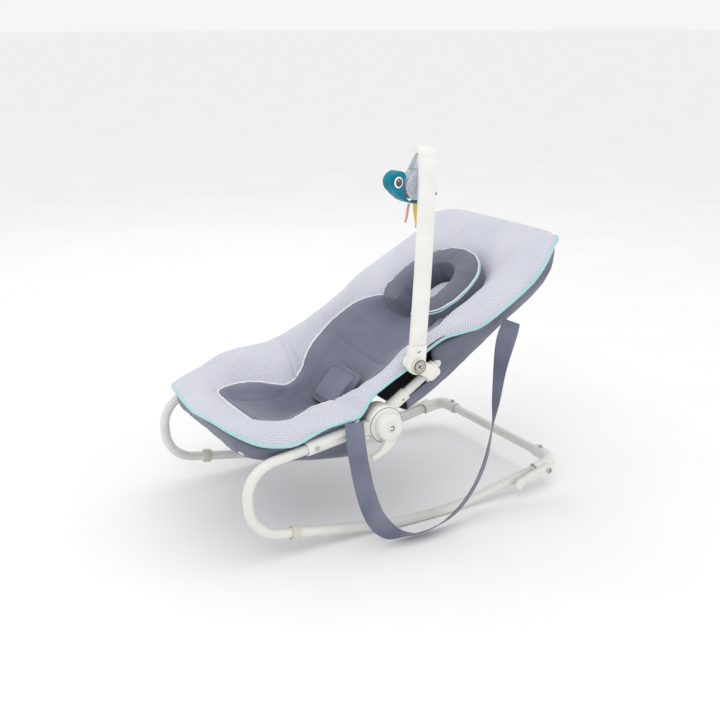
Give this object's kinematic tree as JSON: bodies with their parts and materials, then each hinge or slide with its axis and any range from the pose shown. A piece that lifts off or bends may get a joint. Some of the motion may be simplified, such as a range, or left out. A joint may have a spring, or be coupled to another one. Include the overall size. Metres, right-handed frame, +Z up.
{
  "type": "baby bouncer seat",
  "caption": "Rocking baby bouncer: bent-tube rocker base, reclining padded seat, flip-down stands, carry straps and a swinging arm with a hanging soft toy.",
  "frame": {"origin": "middle of the footprint box, on the floor under the rocker rails", "axes": "+Z up, +X from the baby's feet towards the head, +Y to the baby's right; the toy arm is on the -Y side"},
  "size_m": [0.7628, 0.5816, 0.7371],
  "materials": {
    "frame_paint": "semi-gloss warm white powder coat",
    "white_plastic": "moulded, fine grain",
    "arm_plastic": "satin white",
    "cream_rubber": "soft matt",
    "cream_plastic": "moulded",
    "steel": "zinc plated",
    "light_fabric": "pale cotton jersey printed with a fine dot pattern",
    "grey_fabric": "slate grey woven polyester",
    "grey_webbing": "flat woven webbing",
    "dark_webbing": "black woven webbing",
    "dark_plastic": "moulded black",
    "teal_fabric": "short plush",
    "wing_fabric": "heather grey jersey",
    "yellow_ribbon": "satin ribbon",
    "pink_ribbon": "satin ribbon",
    "white_fabric": "woven tape"
  },
  "bodies": {
    "base": {"base_tube_left": "frame_paint", "rear_elbow_left": "white_plastic", "elbow_screw_left": "steel", "front_foot_ring_left": "cream_rubber", "stand_screw_left": "steel", "hub_base_left": "white_plastic", "sleeve_screw_left": "steel", "pivot_bolt_left": "steel", "waist_strap_left": "dark_webbing", "base_tube_right": "frame_paint", "rear_elbow_right": "white_plastic", "elbow_screw_right": "steel", "front_foot_ring_right": "cream_rubber", "stand_screw_right": "steel", "hub_base_right": "white_plastic", "sleeve_screw_right": "steel", "pivot_bolt_right": "steel", "waist_strap_right": "dark_webbing", "rear_cross_tube": "frame_paint", "seat_front_tube": "frame_paint", "leg_pad": "light_fabric", "leg_sling": "grey_fabric", "crotch_flap": "grey_fabric", "waist_buckle": "dark_plastic"},
    "backrest": {"hub_back_left": "white_plastic", "carry_strap_left": "grey_webbing", "hub_back_right": "white_plastic", "carry_strap_right": "grey_webbing", "backrest_tube": "frame_paint", "back_pad": "light_fabric", "back_sling": "grey_fabric", "head_ring": "grey_fabric", "head_pad": "light_fabric", "arm_bracket": "arm_plastic", "arm_screw": "steel"},
    "toy_arm": {"arm_block": "arm_plastic", "arm_strip": "arm_plastic", "arm_tip_cap": "arm_plastic", "arm_knob": "cream_plastic"},
    "toy": {"toy_strap": "wing_fabric", "toy_body": "teal_fabric", "toy_wing": "wing_fabric", "toy_eye_left": "white_fabric", "toy_eye_right": "white_fabric", "toy_tail_tag": "white_fabric", "toy_ribbon_yellow": "yellow_ribbon", "toy_ribbon_pink": "pink_ribbon"},
    "lever_left": {"recline_lever_left": "white_plastic", "lever_cap_left": "white_plastic"},
    "lock_left": {"lock_gear_left": "steel"},
    "stand_left": {"stand_leg_left": "white_plastic"},
    "lever_right": {"recline_lever_right": "white_plastic", "lever_cap_right": "white_plastic"},
    "lock_right": {"lock_gear_right": "steel"},
    "stand_right": {"stand_leg_right": "white_plastic"}
  },
  "joints": [
    {"name": "backrest_recline", "type": "hinge", "parent": "base", "child": "backrest", "pos_m": [-0.09, 0, 0.228], "axis": [0, 1, 0], "range_deg": [-15, 30]},
    {"name": "toy_arm_tilt", "type": "hinge", "parent": "backrest", "child": "toy_arm", "pos_m": [-0.024, -0.22, 0.335], "axis": [0, 1, 0], "range_deg": [-70, 0]},
    {"name": "toy_swing", "type": "hinge", "parent": "toy_arm", "child": "toy", "pos_m": [-0.006, -0.187, 0.727], "axis": [0, 1, 0], "range_deg": [-30, 45]},
    {"name": "recline_lever_left", "type": "hinge", "parent": "base", "child": "lever_left", "pos_m": [-0.09, -0.236, 0.228], "axis": [0, 1, 0], "range_deg": [-25, 0], "stiffness_Nm_per_rad": 0.6, "springref_deg": 8.59},
    {"name": "lock_gear_slide_left", "type": "slide", "parent": "base", "child": "lock_left", "axis": [0, -1, 0], "range_m": [0, 0.0046]},
    {"name": "stand_leg_left", "type": "hinge", "parent": "base", "child": "stand_left", "pos_m": [0.308, -0.23, 0.05], "axis": [0, 1, 0], "range_deg": [-95, 0]},
    {"name": "recline_lever_right", "type": "hinge", "parent": "base", "child": "lever_right", "pos_m": [-0.09, 0.236, 0.228], "axis": [0, 1, 0], "range_deg": [-25, 0], "stiffness_Nm_per_rad": 0.6, "springref_deg": 8.59},
    {"name": "lock_gear_slide_right", "type": "slide", "parent": "base", "child": "lock_right", "axis": [0, 1, 0], "range_m": [0, 0.0046]},
    {"name": "stand_leg_right", "type": "hinge", "parent": "base", "child": "stand_right", "pos_m": [0.308, 0.23, 0.05], "axis": [0, 1, 0], "range_deg": [-95, 0]}
  ],
  "couplings": [
    {"joint": "lock_gear_slide_left", "follows": "recline_lever_left", "m_per_rad": -0.0103},
    {"joint": "lock_gear_slide_right", "follows": "recline_lever_right", "m_per_rad": -0.0103}
  ]
}
